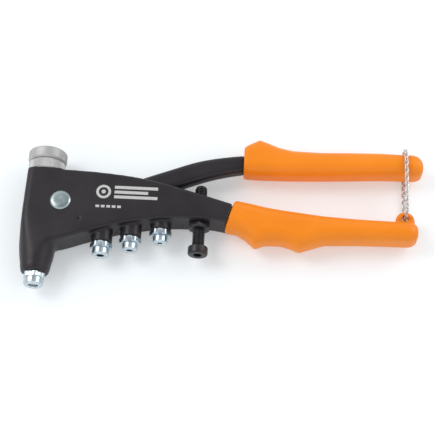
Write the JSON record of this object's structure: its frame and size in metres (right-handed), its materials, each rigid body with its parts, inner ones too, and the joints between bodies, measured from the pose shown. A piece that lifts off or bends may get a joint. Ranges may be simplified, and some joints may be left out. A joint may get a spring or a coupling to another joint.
{
  "type": "hand riveter",
  "caption": "Two-handed lever riveter for threaded inserts with a screwed nosepiece, spin knob, spare nosepieces, stroke stop screw and handle chain.",
  "frame": {"origin": "centre of the fitted nosepiece's mouth, on the barrel axis", "axes": "+Y back along the barrel from the nose to the knob, +X towards the handle ends, +Z the tool's side, so the tool lies flat on its -Z side"},
  "size_m": [0.2607, 0.1093, 0.0257],
  "materials": {
    "black_paint": "satin black stove enamel on a casting",
    "black_paint_lever": "satin black stove enamel on a forging",
    "orange_grip": "smooth semi-matt moulded plastic",
    "bronze": "plain sintered bronze",
    "knurled_steel": "knurled and bead-blasted",
    "plated_steel": "zinc plated, turned",
    "zinc_plate": "bright zinc plate",
    "black_oxide": "black oxide on steel",
    "spring_steel": "oiled spring steel",
    "tool_steel": "ground tool steel",
    "chain_plate": "nickel plated"
  },
  "bodies": {
    "frame": {"frame_casting": "black_paint", "fixed_grip": "orange_grip", "front_bush": "bronze", "rear_guide_ring": "knurled_steel", "pivot_pin": "plated_steel", "pivot_washer": "plated_steel", "cross_pin": "black_oxide", "spring_seat_washer": "plated_steel", "return_spring": "spring_steel"},
    "lever": {"lever_forging": "black_paint_lever", "moving_grip": "orange_grip", "fork_rollers": "tool_steel", "roller_pins": "tool_steel"},
    "spindle": {"draw_spindle": "tool_steel", "mandrel_cap": "tool_steel", "thrust_collar": "tool_steel"},
    "mandrel": {"threaded_mandrel": "tool_steel"},
    "knob": {"spin_knob": "knurled_steel", "knob_circlip": "spring_steel"},
    "stop": {"stop_screw": "black_oxide"},
    "locknut": {"stop_locknut": "black_oxide"},
    "nosepiece_m6": {"fitted_nosepiece_m6": "zinc_plate"},
    "nosepiece_m5": {"spare_nosepiece_m5": "zinc_plate"},
    "nosepiece_m4": {"spare_nosepiece_m4": "zinc_plate"},
    "nosepiece_m3": {"spare_nosepiece_m3": "zinc_plate"},
    "chain": {"chain_links": "chain_plate", "chain_links_under": "chain_plate"}
  },
  "joints": [
    {"name": "lever_pivot", "type": "hinge", "parent": "frame", "child": "lever", "pos_m": [0.013, 0.0557, 0], "axis": [0, 0, 1], "range_deg": [-1.3, 36], "deforming": ["return_spring", "chain_links"]},
    {"name": "spindle_draw", "type": "slide", "parent": "frame", "child": "spindle", "axis": [0, 1, 0], "range_m": [-0.0083, 0.0006]},
    {"name": "mandrel_spin", "type": "hinge", "parent": "spindle", "child": "mandrel", "pos_m": [0, 0, 0], "axis": [0, 1, 0], "continuous": true},
    {"name": "knob_spin", "type": "hinge", "parent": "frame", "child": "knob", "pos_m": [0, 0, 0], "axis": [0, 1, 0], "continuous": true},
    {"name": "stop_travel", "type": "slide", "parent": "frame", "child": "stop", "axis": [0, 1, 0], "range_m": [-0.008, 0]},
    {"name": "locknut_turn", "type": "hinge", "parent": "frame", "child": "locknut", "pos_m": [0.103, 0, 0], "axis": [0, 1, 0], "continuous": true},
    {"name": "nosepiece_m6_unscrew", "type": "slide", "parent": "frame", "child": "nosepiece_m6", "axis": [0, -1, 0], "range_m": [0, 0.0065]},
    {"name": "nosepiece_m5_unscrew", "type": "slide", "parent": "frame", "child": "nosepiece_m5", "axis": [0, -1, 0], "range_m": [0, 0.0065]},
    {"name": "nosepiece_m4_unscrew", "type": "slide", "parent": "frame", "child": "nosepiece_m4", "axis": [0, -1, 0], "range_m": [0, 0.0065]},
    {"name": "nosepiece_m3_unscrew", "type": "slide", "parent": "frame", "child": "nosepiece_m3", "axis": [0, -1, 0], "range_m": [0, 0.0065]},
    {"name": "chain_swing", "type": "hinge", "parent": "frame", "child": "chain", "pos_m": [0.236, 0.0578, 0], "axis": [0, 0, 1], "range_deg": [-60, 0]}
  ],
  "couplings": [
    {"joint": "spindle_draw", "follows": "lever_pivot", "m_per_rad": -0.01245},
    {"joint": "mandrel_spin", "follows": "knob_spin", "ratio": 1}
  ]
}
